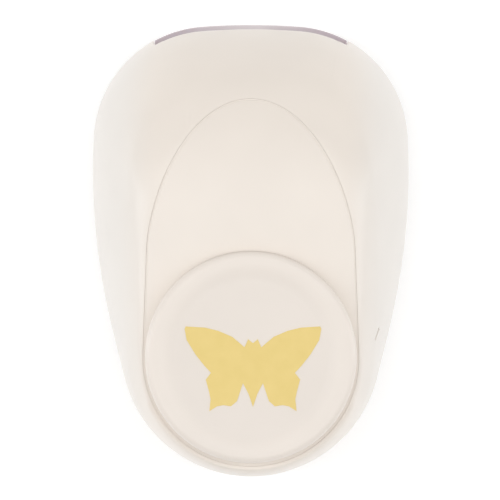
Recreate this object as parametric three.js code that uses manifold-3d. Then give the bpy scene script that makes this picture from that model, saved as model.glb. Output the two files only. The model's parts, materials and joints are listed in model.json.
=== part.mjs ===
// Lever craft punch for paper: an egg-shaped moulded body with a butterfly punch and die inside.
// Millimetres, +Z up. The body stands on z = 0 with its middle at x = y = 0. The paper mouth is at +Y
// and the round press pad at -Y. The lever turns on an axle along X, under the hood.
import * as THREE from 'three';
import { mergeVertices } from 'three/addons/utils/BufferGeometryUtils.js';
import Module from 'manifold-3d';

const wasm = await Module();
wasm.setup();

// ---------------------------------------------------------------- driving dimensions
const FRONT_Y = 57.2;            // tip of the body at the paper mouth
const REAR_Y = -57.2;            // tip of the body at the pad end
const WIDEST_HALF = 40;          // half of the body's greatest width
const FOOT_H = 1.5;
const BASE_TOP = 9.7;            // bed that the paper slides on
const SLOT_TOP = 11.4;           // lower edge of the hood round the paper slot
const SLOT_REAR_Y = 2;           // how far back the open paper slot reaches
const SILL_Z = 10;               // lower edge of the housing behind the slot
const CREST_Z = 49.5;            // ridge between flank and deck
const CROWN_Z = 51.8;            // top of the crowned deck, inside the lever opening
const CREST_HALF = 27.2;         // half of the deck's width at the crest
const CROWN_Y = 10;              // where the crown is highest
const SILL_ARCS = { widestY: 20.1, frontR: 162, cornerR: 29.5, flankR: 160 };
const CREST_ARCS = { widestY: 5, frontR: 60, cornerR: 18, flankR: 1500 };
const HOOD_FALL = 1.7;           // exponents of the hood's profile from the crown down to the mouth
const HOOD_BULGE = 0.35;
const REAR_LEAN = 2.8;           // how far the pad end leans in from sill to crest
const REAR_TUCK = 1.6;           // extra lean close under the crest
const WALL = 2;                  // moulded wall
const BASE_SETBACK = 0.8;        // base edge inside the housing's edge
const MARK_SIZE = [3.8, 0.45, 2]; // short slit in the right flank: length, width and height of its cutter
const MARK_SLOPE = 0.668;        // radians that the slit falls towards the mouth
const MARK_TURN = 1.207;         // radians between +X and the slit, seen from above
const MARK_CENTRE = [30.67, -20.36, 41.3];
const MOUTH_HALF = 22.5;         // paper mouth under the hood
const MOUTH_TOP = 16;
const LIP_HALF = 24.4;           // smoke-tinted lip in front of the mouth
const LIP_SETBACK = 2.1;         // how far the hood's face stands behind the lip
const FIT_GAP = 0.3;             // gap round a piece seated in another

const PAD_Y = -25.5;             // centre of the round press pad
const PAD_R = 25.2;
const LEVER_R = PAD_R + 0.1;     // the lever's round end, just wider than the pad
const PAD_SEAT_Z = 49.2;         // floor of the pad's seat in the lever
const PAD_TOP = 55;
const DISH_Z = 54.4;             // floor of the dish in the pad
const LEVER_TIP_Y = 35.8;
const LEVER_HALF = 24.4;         // half of the lever's width at y = 0
const ARCH_POWER = 1.6;          // exponent of the arch: 2 would be a half ellipse
const LEVER_TOP = 52.6;
const LEVER_DROP = 5.2;          // fall of the lever's back from y = 0 to its tip
const LEVER_SKIRT_Z = 41.5;      // lower edge of the lever's walls
const LEVER_PLATE = 2.2;         // thickness of the lever's back
const LEVER_GAP = 0.6;           // seam between lever and housing
const PAD_SWING = 0.4;           // extra room behind the pad, which swings back as it goes down
const ARM_X = 8.5;               // arms between the lever's back and its hub
const ARM_THICK = 2.5;
const NOSE_HALF = 6;             // half of the nose's width
const WING_X = 20.5;             // stop wings that rest under the deck
const WING_HALF = 2.5;

const AXLE_Y = 38;
const AXLE_Z = 35;
const AXLE_R = 2;
const HUB_R = 3.6;
const BORE_CLEARANCE = 0.1;
const RIB_INNER = 11;            // inner face of the ribs that carry the axle
const RIB_THICK = 2.5;
const AXLE_HALF = 15.4;
const CLIP_R = 3.1;
const PEG_R = 1.8;               // pegs that hold the pad cap in the lever
const PEG_CIRCLE_R = 15;

const DIE_Y = 21;                // centre of the punch and die
const DIE_THICK = 2.5;
const DIE_HALF_X = 26.8;
const DIE_REAR_Y = -4;
const DIE_FRONT_Y = 36;
const GUIDE_THICK = 3;
const PUNCH_Z = 11.7;            // cutting edge at rest, inside the guide plate
const PLATE_Z = 22.7;            // underside of the punch plate at rest
const PLATE_THICK = 2;
const BLOCK_TOP = 33.3;          // top of the press block at rest
const NOSE_R = 4;                // rounded nose of the lever that presses on the block
const NOSE_Z = BLOCK_TOP + FIT_GAP + NOSE_R;
const GUIDE_TOP = SLOT_TOP + GUIDE_THICK;
const CUT_CLEARANCE = 0.25;      // gap between punch and die
const POST_X = 23;
const POST_DY = 9;
const POST_R = 1.5;
const SPRING_R = 2.6;            // mean radius of the coil
const WIRE_R = 0.35;
const SPRING_TURNS = 4.5;

const CHIP_HALF_X = 18.4;        // outlet for the cut-outs under the die
const CHIP_HALF_Y = 11.4;
const SCREW_R = 1.4;
const SCREW_HEAD_R = 2.8;
const DIE_SCREW_R = 1.3;
const BLOCK_SCREW_R = 1.1;

const HOUSING_SCREWS = [[30.5, -4], [-30.5, -4], [29, -24], [-29, -24], [13, -47], [-13, -47]];
const FEET = [[27, 39], [-27, 39], [21, -34], [-21, -34]];
const DIE_SCREWS = [[-24, 0], [-8, 0], [8, 0], [24, 0]];
const BLOCK_SCREWS = [[-10.5, 23], [10.5, 23]];

// Right half of the butterfly, from head to tail, about its own middle.
const BUTTERFLY_HALF = [
  [0, 6.4], [1.2, 7.4], [2.1, 5.4], [5.2, 8], [8.7, 9.5], [12, 10.3], [16.8, 10.6], [17.1, 10],
  [16.6, 7.2], [14.4, 3.6], [12.2, 0.8], [10.5, -1], [11.8, -2.7], [11, -5.7], [10.6, -7.6],
  [10.9, -10.6], [9, -9.4], [7.4, -9.1], [5.5, -9.4], [4, -8.1], [3.3, -6], [2.5, -3.6],
  [1.1, -6.3], [0, -9.5],
];
const BUTTERFLY_Y = DIE_Y - 0.5;
const PRINT_SCALE = 0.95;
const PRINT_THICK = 0.2;

// ---------------------------------------------------------------- materials
function plastic(color, roughness) {
  return new THREE.MeshStandardMaterial({ color, roughness, metalness: 0 });
}

function metal(color, roughness) {
  return new THREE.MeshStandardMaterial({ color, roughness, metalness: 1 });
}

const creamShell = plastic(0xf1ebe3, 0.3);
const creamPad = plastic(0xf0e6dc, 0.28);
const yellowPrint = plastic(0xefd78f, 0.4);
const lilacLip = plastic(0xc6bcc6, 0.2);
const blackRubber = plastic(0x2a2a2c, 0.9);
const blackPlastic = plastic(0x2e2e30, 0.5);
const steel = metal(0xb9bcc0, 0.35);
const springSteel = metal(0xa9acb0, 0.3);
const darkSteel = metal(0x84878b, 0.4);

// ---------------------------------------------------------------- solids
function toSolid(geometry) {
  geometry.deleteAttribute('normal');
  geometry.deleteAttribute('uv');
  const merged = mergeVertices(geometry, 1e-4);
  const corners = merged.getIndex().array;
  const triangles = [];
  for (let i = 0; i < corners.length; i += 3) {
    const [a, b, c] = corners.slice(i, i + 3);
    if (a !== b && b !== c && c !== a) {
      triangles.push(a, b, c);
    }
  }
  const vertProperties = new Float32Array(merged.getAttribute('position').array);
  const triVerts = new Uint32Array(triangles);
  return new wasm.Manifold(new wasm.Mesh({ numProp: 3, vertProperties, triVerts }));
}

function toGeometry(solid) {
  const mesh = solid.getMesh();
  const geometry = new THREE.BufferGeometry();
  geometry.setAttribute('position', new THREE.BufferAttribute(new Float32Array(mesh.vertProperties), 3));
  geometry.setIndex(new THREE.BufferAttribute(new Uint32Array(mesh.triVerts), 1));
  geometry.computeVertexNormals();
  return geometry;
}

function block(x0, x1, y0, y1, z0, z1) {
  const box = new THREE.BoxGeometry(x1 - x0, y1 - y0, z1 - z0);
  return toSolid(box.translate((x0 + x1) / 2, (y0 + y1) / 2, (z0 + z1) / 2));
}

// Upright prism over a closed outline of [x, y] points.
function prism(outline, z0, z1) {
  const shape = new THREE.Shape(outline.map(([x, y]) => new THREE.Vector2(x, y)));
  const body = new THREE.ExtrudeGeometry(shape, { depth: z1 - z0, bevelEnabled: false });
  return toSolid(body.translate(0, 0, z0));
}

// Prism along X over a closed outline of [y, z] points.
function sidePrism(outline, x0, x1) {
  const shape = new THREE.Shape(outline.map(([y, z]) => new THREE.Vector2(y, z)));
  const body = new THREE.ExtrudeGeometry(shape, { depth: x1 - x0, bevelEnabled: false });
  const turn = new THREE.Matrix4().makeBasis(
    new THREE.Vector3(0, 1, 0), new THREE.Vector3(0, 0, 1), new THREE.Vector3(1, 0, 0));
  return toSolid(body.applyMatrix4(turn).translate(x0, 0, 0));
}

function drum(radius, x, y, z0, z1, segments) {
  const body = new THREE.CylinderGeometry(radius, radius, z1 - z0, segments);
  return toSolid(body.rotateX(Math.PI / 2).translate(x, y, (z0 + z1) / 2));
}

// Round bar along X.
function bar(radius, y, z, x0, x1, segments = 24) {
  const body = new THREE.CylinderGeometry(radius, radius, x1 - x0, segments);
  return toSolid(body.rotateZ(Math.PI / 2).translate((x0 + x1) / 2, y, z));
}

// Solid of revolution about the upright line through (x, y), from [r, z] points on its section.
function turned(profile, x, y, segments) {
  const points = profile.map(([r, z]) => new THREE.Vector2(r, z));
  return toSolid(new THREE.LatheGeometry(points, segments).rotateX(Math.PI / 2).translate(x, y, 0));
}

// Solid through a stack of convex rings with equal point counts, lowest first, closed by flat ends.
function loft(rings) {
  const count = rings[0].length;
  const index = [];
  for (let ring = 0; ring < rings.length - 1; ring += 1) {
    for (let i = 0; i < count; i += 1) {
      const a = ring * count + i;
      const b = ring * count + (i + 1) % count;
      index.push(a, b, b + count, a, b + count, a + count);
    }
  }
  const last = (rings.length - 1) * count;
  for (let i = 1; i < count - 1; i += 1) {
    index.push(0, i + 1, i, last, last + i, last + i + 1);
  }
  const geometry = new THREE.BufferGeometry();
  geometry.setAttribute('position', new THREE.Float32BufferAttribute(rings.flat(2), 3));
  geometry.setIndex(index);
  return toSolid(geometry);
}

function cutAll(solid, tools) {
  return tools.reduce((rest, tool) => rest.subtract(tool), solid);
}

function joinAll(solid, pieces) {
  return pieces.reduce((whole, piece) => whole.add(piece), solid);
}

// ---------------------------------------------------------------- outlines, all anticlockwise
const mix = (a, b, t) => a + (b - a) * t;

// Whole outline from its right half, listed from the front point on the axis to the rear one.
function mirrored(rightHalf) {
  const left = rightHalf.slice(1, -1).map(([x, y]) => [-x, y]).reverse();
  return [...rightHalf, ...left].reverse();
}

function roundedRectangle(x0, x1, y0, y1, radius) {
  const centres = [[x1 - radius, y1 - radius], [x0 + radius, y1 - radius],
    [x0 + radius, y0 + radius], [x1 - radius, y0 + radius]];
  return centres.flatMap(([x, y], corner) => [0, 1, 2, 3, 4].map((step) => {
    const angle = (corner + step / 4) * Math.PI / 2;
    return [x + radius * Math.cos(angle), y + radius * Math.sin(angle)];
  }));
}

// Egg of tangent arcs: a flat arc across the front, a corner arc and a long flank arc down each side,
// and a round rear arc whose radius closes it.
const ARC_STEPS = [3, 7, 6, 9];

function eggOutline({ frontY, rearY, halfWidth, widestY, frontR, cornerR, flankR }) {
  const front = [0, frontY - frontR];
  const flank = [halfWidth - flankR, widestY];
  const span = Math.hypot(flank[0] - front[0], flank[1] - front[1]);
  const toFront = frontR - cornerR;
  const toFlank = flankR - cornerR;
  const along = (toFront ** 2 - toFlank ** 2 + span ** 2) / (2 * span);
  const across = Math.sqrt(toFront ** 2 - along ** 2);
  const ux = (flank[0] - front[0]) / span;
  const uy = (flank[1] - front[1]) / span;
  const corner = [front[0] + along * ux + across * uy, front[1] + along * uy - across * ux];
  const drop = widestY - rearY;
  const rearR = (flank[0] ** 2 + drop ** 2 - flankR ** 2) / (2 * (drop - flankR));
  const rear = [0, rearY + rearR];
  const joins = [
    Math.PI / 2,
    Math.atan2(corner[1] - front[1], corner[0] - front[0]),
    Math.atan2(corner[1] - flank[1], corner[0] - flank[0]),
    Math.atan2(rear[1] - flank[1], rear[0] - flank[0]),
    -Math.PI / 2,
  ];
  const arcs = [[front, frontR], [corner, cornerR], [flank, flankR], [rear, rearR]];
  const right = arcs.flatMap(([[x, y], radius], arc) => Array.from({ length: ARC_STEPS[arc] }, (_, step) => {
    const angle = mix(joins[arc], joins[arc + 1], step / ARC_STEPS[arc]);
    return [x + radius * Math.cos(angle), y + radius * Math.sin(angle)];
  }));
  return mirrored([...right, [0, rearY]]);
}

// Driving values of the body's level section at one height. The flanks lean in as a parabola up to the
// crest, the hood falls away to the front, and the deck inside the crest is a low crown.
function bodySection(z) {
  const rise = Math.min((z - SILL_Z) / (CREST_Z - SILL_Z), 1);
  const lean = rise ** 2;
  const hood = rise * (CREST_Z - SILL_Z) / (CROWN_Z - SILL_Z);
  const shrink = z > CREST_Z ? Math.sqrt((CROWN_Z - z) / (CROWN_Z - CREST_Z)) : 1;
  const onAxis = (y) => mix(CROWN_Y, y, shrink);
  return {
    frontY: onAxis(CROWN_Y + (FRONT_Y - CROWN_Y) * (1 - hood ** HOOD_FALL) ** HOOD_BULGE),
    rearY: onAxis(REAR_Y + REAR_LEAN * rise + REAR_TUCK * rise ** 12),
    halfWidth: shrink * mix(WIDEST_HALF, CREST_HALF, lean),
    widestY: onAxis(mix(SILL_ARCS.widestY, CREST_ARCS.widestY, lean)),
    frontR: shrink * mix(SILL_ARCS.frontR, CREST_ARCS.frontR, lean),
    cornerR: shrink * mix(SILL_ARCS.cornerR, CREST_ARCS.cornerR, lean),
    flankR: shrink / mix(1 / SILL_ARCS.flankR, 1 / CREST_ARCS.flankR, lean),
  };
}

// The same section with the outline moved inwards by an even distance.
function insetSection(z, by) {
  const section = bodySection(z);
  return {
    frontY: section.frontY - by,
    rearY: section.rearY + by,
    halfWidth: section.halfWidth - by,
    widestY: section.widestY,
    frontR: section.frontR - by,
    cornerR: section.cornerR - by,
    flankR: section.flankR - by,
  };
}

// Moves each point of an outline outwards by an even distance from both its edges.
function offsetOutline(outline, distance) {
  return outline.map(([x, y], i) => {
    const [px, py] = outline.at(i - 1);
    const [nx, ny] = outline[(i + 1) % outline.length];
    const before = new THREE.Vector2(y - py, px - x).normalize();
    const after = new THREE.Vector2(ny - y, x - nx).normalize();
    const middle = before.clone().add(after).normalize();
    const reach = distance / Math.max(middle.dot(before), 0.5);
    return [x + middle.x * reach, y + middle.y * reach];
  });
}

// Pointed arch towards the hood, nearly straight sides, and a half circle round the pad.
function leverOutline(padRadius, padY) {
  const arch = Array.from({ length: 13 }, (_, step) => {
    const y = LEVER_TIP_Y * (1 - (step / 12) ** 2);
    return [LEVER_HALF * Math.sqrt(1 - (y / LEVER_TIP_Y) ** ARCH_POWER), y];
  });
  const round = Array.from({ length: 15 }, (_, step) => {
    const angle = step * Math.PI / 30;
    return [padRadius * Math.cos(angle), padY - padRadius * Math.sin(angle)];
  });
  return mirrored([...arch, ...round, [0, padY - padRadius]]);
}

function butterflyOutline(grow, scale, x, y) {
  const outline = mirrored(BUTTERFLY_HALF).map(([px, py]) => [px * scale, py * scale]);
  return offsetOutline(outline, grow).map(([px, py]) => [px + x, py + y]);
}

// ---------------------------------------------------------------- housing
// The body's outer form, or the hollow inside a wall: an inner section is taken one wall higher as
// well, so that level stretches keep their thickness.
function bodyForm(wall, floor) {
  const belowCrest = [0, 0.16, 0.32, 0.48, 0.62, 0.73, 0.82, 0.905, 0.96, 1];
  const overCrest = [0.26, 0.56, 0.87];
  const heights = [
    ...belowCrest.map((share) => SILL_Z + share * (CREST_Z - SILL_Z)),
    ...overCrest.map((share) => CREST_Z + share * (CROWN_Z - CREST_Z)),
  ];
  const rings = heights.map((z, ring) => {
    const level = ring === 0 ? floor : z - wall;
    return eggOutline(insetSection(z, wall)).map(([x, y]) => [x, y, level]);
  });
  return loft(rings);
}

function axleRib(side) {
  const inner = side * RIB_INNER;
  const outer = side * (RIB_INNER + RIB_THICK);
  const [x0, x1] = [Math.min(inner, outer), Math.max(inner, outer)];
  const web = block(x0, x1, AXLE_Y - 5, AXLE_Y + 5, AXLE_Z - 4, CREST_Z);
  const seat = bar(AXLE_R + BORE_CLEARANCE, AXLE_Y, AXLE_Z, x0 - 1, x1 + 1);
  const mouth = block(x0 - 1, x1 + 1, AXLE_Y - 1.9, AXLE_Y + 1.9, AXLE_Z - 5, AXLE_Z);
  return cutAll(web, [seat, mouth]);
}

// Screw pillar that stands over the base, with a web to the nearest wall at the pad end.
function screwPillar([x, y]) {
  const atRear = y < PAD_Y - 10;
  const top = atRear ? 23 : 33;
  const pillar = drum(3, x, y, SILL_Z, top, 16);
  const web = block(x - 0.9, x + 0.9, REAR_Y, y, SILL_Z, top);
  const whole = atRear ? pillar.add(web) : pillar;
  return whole.subtract(drum(SCREW_R + BORE_CLEARANCE, x, y, SILL_Z - 1, SILL_Z + 9, 12));
}

function housing() {
  const outer = bodyForm(0, SILL_Z);
  const fittings = joinAll(axleRib(1), [axleRib(-1), ...HOUSING_SCREWS.map(screwPillar)]);
  const shell = outer.subtract(bodyForm(WALL, SILL_Z - 1)).add(fittings.intersect(bodyForm(0.6, SILL_Z)));
  const opening = prism(offsetOutline(leverOutline(LEVER_R, PAD_Y - PAD_SWING), LEVER_GAP), 41, 60);
  const paperSlot = block(-50, 50, SLOT_REAR_Y, 70, SILL_Z - 1, SLOT_TOP);
  const mouth = block(-MOUTH_HALF, MOUTH_HALF, 44, 70, SILL_Z - 1, MOUTH_TOP);
  const behindLip = prism(eggOutline(insetSection(SILL_Z, LIP_SETBACK)), 0, 60);
  const lipRecess = block(-LIP_HALF - FIT_GAP, LIP_HALF + FIT_GAP, 40, 70, 0, 24).subtract(behindLip);
  const mark = new THREE.BoxGeometry(...MARK_SIZE).rotateY(MARK_SLOPE).rotateZ(MARK_TURN);
  const flankMark = toSolid(mark.translate(...MARK_CENTRE));
  return cutAll(shell, [opening, paperSlot, mouth, lipRecess, flankMark]);
}

// ---------------------------------------------------------------- base
function base() {
  const outline = eggOutline(insetSection(SILL_Z, BASE_SETBACK));
  const tray = prism(outline, FOOT_H, BASE_TOP);
  const hollow = prism(eggOutline(insetSection(SILL_Z, BASE_SETBACK + 2.5)), 0, 6.4);
  const kept = [
    block(-22, 22, DIE_Y - 14, DIE_Y + 14, 0, 8),
    block(-28, 28, 43, 60, 0, 8),
    ...HOUSING_SCREWS.map(([x, y]) => drum(5.2, x, y, 0, 8, 16)),
    ...FEET.map(([x, y]) => drum(6.5, x, y, 0, 8, 20)),
  ];
  const pocket = cutAll(hollow, kept);
  const pocketOutline = offsetOutline(roundedRectangle(-DIE_HALF_X, DIE_HALF_X, DIE_REAR_Y, DIE_FRONT_Y, 3),
    FIT_GAP);
  const diePocket = prism(pocketOutline, BASE_TOP - DIE_THICK, 20);
  const lipPocket = block(-LIP_HALF - FIT_GAP, LIP_HALF + FIT_GAP, 46, 70, 4, 20);
  const chipOutlet = prism(roundedRectangle(-CHIP_HALF_X, CHIP_HALF_X, DIE_Y - CHIP_HALF_Y,
    DIE_Y + CHIP_HALF_Y, 3), -1, 20);
  const screwHoles = HOUSING_SCREWS.flatMap(([x, y]) => [
    drum(SCREW_R + BORE_CLEARANCE, x, y, 0, 20, 12),
    drum(SCREW_HEAD_R + FIT_GAP, x, y, 0, 4.2, 16),
  ]);
  return cutAll(tray, [pocket, diePocket, lipPocket, chipOutlet, ...screwHoles]);
}

function slotLip() {
  const body = prism(eggOutline(insetSection(SILL_Z, 0)), 4, BASE_TOP);
  return body.intersect(prism(roundedRectangle(-LIP_HALF, LIP_HALF, 46.3, 64, 2.5), 0, 20));
}

function foot([x, y]) {
  const profile = [[0, 0], [4.2, 0], [5, 0.5], [5, FOOT_H], [0, FOOT_H]];
  return turned(profile, x, y, 20);
}

// Screw with a domed head at headZ and its shank going up from it, or down where upward is false.
function screw(x, y, headZ, length, headR, shankR, upward) {
  const way = upward ? 1 : -1;
  const profile = [[0, headZ], [headR * 0.8, headZ], [headR, headZ + way * 0.8],
    [headR, headZ + way * 1.8], [shankR, headZ + way * 1.8], [shankR, headZ + way * length],
    [0, headZ + way * length]];
  return turned(upward ? profile : profile.reverse(), x, y, 12);
}

// ---------------------------------------------------------------- die set
function dieSetPlate(z0, z1) {
  return prism(roundedRectangle(-DIE_HALF_X, DIE_HALF_X, DIE_REAR_Y, DIE_FRONT_Y, 3), z0, z1);
}

function dieScrewHoles(z0, z1) {
  return DIE_SCREWS.map(([x, y]) => drum(DIE_SCREW_R + BORE_CLEARANCE, x, y, z0, z1, 12));
}

function diePlate() {
  const cut = prism(butterflyOutline(CUT_CLEARANCE, 1, 0, BUTTERFLY_Y), 0, 20);
  return cutAll(dieSetPlate(BASE_TOP - DIE_THICK, BASE_TOP), [cut, ...dieScrewHoles(0, 20)]);
}

function rearSpacer() {
  const outline = roundedRectangle(-DIE_HALF_X, DIE_HALF_X, DIE_REAR_Y, SLOT_REAR_Y + 1, 2);
  const strip = prism(outline, BASE_TOP, SLOT_TOP);
  return cutAll(strip, dieScrewHoles(0, 20));
}

function guidePlate() {
  const cut = prism(butterflyOutline(CUT_CLEARANCE, 1, 0, BUTTERFLY_Y), 0, 20);
  const postHoles = postPlaces().map(([x, y]) => drum(POST_R + BORE_CLEARANCE, x, y, 0, 20, 20));
  const plate = dieSetPlate(SLOT_TOP, GUIDE_TOP);
  return cutAll(plate, [cut, ...postHoles, ...dieScrewHoles(0, 20)]);
}

function postPlaces() {
  return [[POST_X, DIE_Y + POST_DY], [-POST_X, DIE_Y + POST_DY], [POST_X, DIE_Y - POST_DY],
    [-POST_X, DIE_Y - POST_DY]];
}

function guidePost([x, y]) {
  const profile = [[0, SLOT_TOP], [POST_R, SLOT_TOP], [POST_R, 29.4], [POST_R - 0.6, 30], [0, 30]];
  return turned(profile, x, y, 20);
}

class Helix extends THREE.Curve {
  constructor(radius, turns, z0, z1) {
    super();
    Object.assign(this, { radius, turns, z0, z1 });
  }

  getPoint(t, target = new THREE.Vector3()) {
    const angle = t * this.turns * 2 * Math.PI;
    const z = mix(this.z0, this.z1, t);
    return target.set(this.radius * Math.cos(angle), this.radius * Math.sin(angle), z);
  }
}

function returnSpring([x, y]) {
  const path = new Helix(SPRING_R, SPRING_TURNS, GUIDE_TOP + WIRE_R, PLATE_Z - WIRE_R);
  const section = new THREE.Shape(new THREE.EllipseCurve(0, 0, WIRE_R, WIRE_R).getPoints(5).slice(0, 5));
  const steps = Math.round(SPRING_TURNS * 10);
  const coil = new THREE.ExtrudeGeometry(section, { extrudePath: path, steps, bevelEnabled: false });
  return toSolid(coil.translate(x, y, 0));
}

// ---------------------------------------------------------------- punch
function punch() {
  const blade = prism(butterflyOutline(0, 1, 0, BUTTERFLY_Y), PUNCH_Z, PLATE_Z);
  return cutAll(blade, BLOCK_SCREWS.map(([x, y]) => drum(BLOCK_SCREW_R + BORE_CLEARANCE, x, y, 15, 40, 12)));
}

function punchPlate() {
  const plate = prism(roundedRectangle(-27.5, 27.5, DIE_Y - 13, DIE_Y + 13, 3), PLATE_Z, PLATE_Z + PLATE_THICK);
  const postHoles = postPlaces().map(([x, y]) => drum(POST_R + 0.25, x, y, 0, 40, 20));
  const screwHoles = BLOCK_SCREWS.map(([x, y]) => drum(BLOCK_SCREW_R + BORE_CLEARANCE, x, y, 0, 40, 12));
  return cutAll(plate, [...postHoles, ...screwHoles]);
}

function pressBlock() {
  const flangeZ = PLATE_Z + PLATE_THICK;
  const flange = prism(roundedRectangle(-14, 14, 15, 29, 3), flangeZ, flangeZ + 2.3);
  const column = prism(roundedRectangle(-6.5, 6.5, 16.5, 25.5, 2), flangeZ + 1, BLOCK_TOP);
  const holes = BLOCK_SCREWS.map(([x, y]) => drum(BLOCK_SCREW_R + BORE_CLEARANCE, x, y, 0, 60, 12));
  return cutAll(flange.add(column), holes);
}

// ---------------------------------------------------------------- lever
// Side view of the lever's back, from the arch tip to behind the pad.
function leverBack(lower) {
  const rising = Array.from({ length: 10 }, (_, step) => {
    const y = 38 * (1 - step / 9);
    return [y, LEVER_TOP - LEVER_DROP * (y / 36) ** 2 - lower];
  });
  return [...rising, [-60, LEVER_TOP - lower], [-60, 0], [38, 0]];
}

function leverForm(outline, lower, floor) {
  return sidePrism(leverBack(lower), -40, 40).intersect(prism(outline, floor, 60));
}

function leverArm(side) {
  const outline = [[16, 47.5], [28, 45.5], [31.5, 42.6], [35, 40.4], [AXLE_Y + 2.5, AXLE_Z + 2.5],
    [AXLE_Y, AXLE_Z - 3], [AXLE_Y - 4.5, AXLE_Z], [27, 41], [16, 43]].reverse();
  const x = side * ARM_X;
  return sidePrism(outline, x - ARM_THICK / 2, x + ARM_THICK / 2);
}

function stopWing(side) {
  const x = side * WING_X;
  return block(x - WING_HALF, x + WING_HALF, 14, 20, LEVER_SKIRT_Z + 0.9, CREST_Z - LEVER_PLATE);
}

function pressLever() {
  const outline = leverOutline(LEVER_R, PAD_Y);
  const outer = leverForm(outline, 0, LEVER_SKIRT_Z);
  const aroundSeat = drum(PAD_R + 2.3, 0, PAD_Y, PAD_SEAT_Z - LEVER_PLATE, 60, 48);
  const hollow = leverForm(offsetOutline(outline, -WALL), LEVER_PLATE, LEVER_SKIRT_Z - 5).subtract(aroundSeat);
  const seat = drum(PAD_R + FIT_GAP, 0, PAD_Y, PAD_SEAT_Z, 60, 48);
  const nose = block(-NOSE_HALF, NOSE_HALF, DIE_Y - NOSE_R, DIE_Y + NOSE_R, NOSE_Z, 49)
    .add(bar(NOSE_R, DIE_Y, NOSE_Z, -NOSE_HALF, NOSE_HALF));
  const hub = bar(HUB_R, AXLE_Y, AXLE_Z, FIT_GAP - RIB_INNER, RIB_INNER - FIT_GAP);
  const shell = cutAll(outer, [hollow, seat]);
  const whole = joinAll(shell, [nose, hub, leverArm(1), leverArm(-1), stopWing(1), stopWing(-1)]);
  const bore = bar(AXLE_R + BORE_CLEARANCE, AXLE_Y, AXLE_Z, -20, 20);
  const pegHoles = padPegs(PEG_R + FIT_GAP, 40, 60);
  return cutAll(whole, [bore, ...pegHoles]);
}

function padPegs(radius, z0, z1) {
  return [90, 210, 330].map((degrees) => {
    const angle = THREE.MathUtils.degToRad(degrees);
    return drum(radius, PEG_CIRCLE_R * Math.cos(angle), PAD_Y + PEG_CIRCLE_R * Math.sin(angle), z0, z1, 12);
  });
}

function padCap() {
  const under = PAD_SEAT_Z + FIT_GAP;
  const profile = [[0, under + 2], [PAD_R - 3, under + 2], [PAD_R - 2.4, under], [PAD_R - 0.2, under],
    [PAD_R, under + 0.8], [PAD_R - 0.4, PAD_TOP - 1.8], [PAD_R - 0.9, PAD_TOP - 0.7],
    [PAD_R - 1.8, PAD_TOP - 0.1], [PAD_R - 2.6, PAD_TOP], [PAD_R - 4.9, PAD_TOP - 0.3],
    [PAD_R - 7.2, DISH_Z], [0, DISH_Z]];
  return joinAll(turned(profile, 0, PAD_Y, 48), padPegs(PEG_R, PAD_SEAT_Z - 3, PAD_SEAT_Z + 3));
}

function butterflyPrint() {
  const outline = butterflyOutline(0, PRINT_SCALE, 0.5, PAD_Y - 2.2);
  return prism(outline, DISH_Z, DISH_Z + PRINT_THICK);
}

function leverAxle() {
  return bar(AXLE_R, AXLE_Y, AXLE_Z, -AXLE_HALF, AXLE_HALF);
}

function axleClip(side) {
  const x = side * (AXLE_HALF - 1);
  const ring = bar(CLIP_R, AXLE_Y, AXLE_Z, x - 0.4, x + 0.4);
  return ring.subtract(bar(AXLE_R + BORE_CLEARANCE, AXLE_Y, AXLE_Z, x - 1, x + 1));
}

// ---------------------------------------------------------------- assembly
const punchAssembly = new THREE.Group();

function add(name, solid, material) {
  const mesh = new THREE.Mesh(toGeometry(solid), material);
  mesh.name = name;
  punchAssembly.add(mesh);
}

add('housing', housing(), creamShell);
add('base', base(), creamShell);
add('slot_lip', slotLip(), lilacLip);
FEET.forEach((place, i) => add(`foot_${i + 1}`, foot(place), blackRubber));
HOUSING_SCREWS.forEach(([x, y], i) => {
  add(`housing_screw_${i + 1}`, screw(x, y, 2.2, 15, SCREW_HEAD_R, SCREW_R, true), darkSteel);
});

add('die_plate', diePlate(), steel);
add('rear_spacer', rearSpacer(), steel);
add('guide_plate', guidePlate(), steel);
DIE_SCREWS.forEach(([x, y], i) => {
  add(`die_screw_${i + 1}`, screw(x, y, GUIDE_TOP + 1.8, 8.5, 2.4, DIE_SCREW_R, false), darkSteel);
});
postPlaces().forEach((place, i) => {
  add(`guide_post_${i + 1}`, guidePost(place), steel);
  add(`return_spring_${i + 1}`, returnSpring(place), springSteel);
});

add('punch', punch(), steel);
add('punch_plate', punchPlate(), steel);
add('press_block', pressBlock(), blackPlastic);
BLOCK_SCREWS.forEach(([x, y], i) => {
  const headZ = PLATE_Z + PLATE_THICK + 2.3 + 1.8;
  add(`block_screw_${i + 1}`, screw(x, y, headZ, 12.5, 2.2, BLOCK_SCREW_R, false), darkSteel);
});

add('lever_axle', leverAxle(), steel);
add('axle_clip_right', axleClip(1), darkSteel);
add('axle_clip_left', axleClip(-1), darkSteel);
add('press_lever', pressLever(), creamShell);
add('pad_cap', padCap(), creamPad);
add('butterfly_print', butterflyPrint(), yellowPrint);

export default punchAssembly;
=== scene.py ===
import json
import math

import bmesh
import bpy
from mathutils import Matrix, Vector


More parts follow.
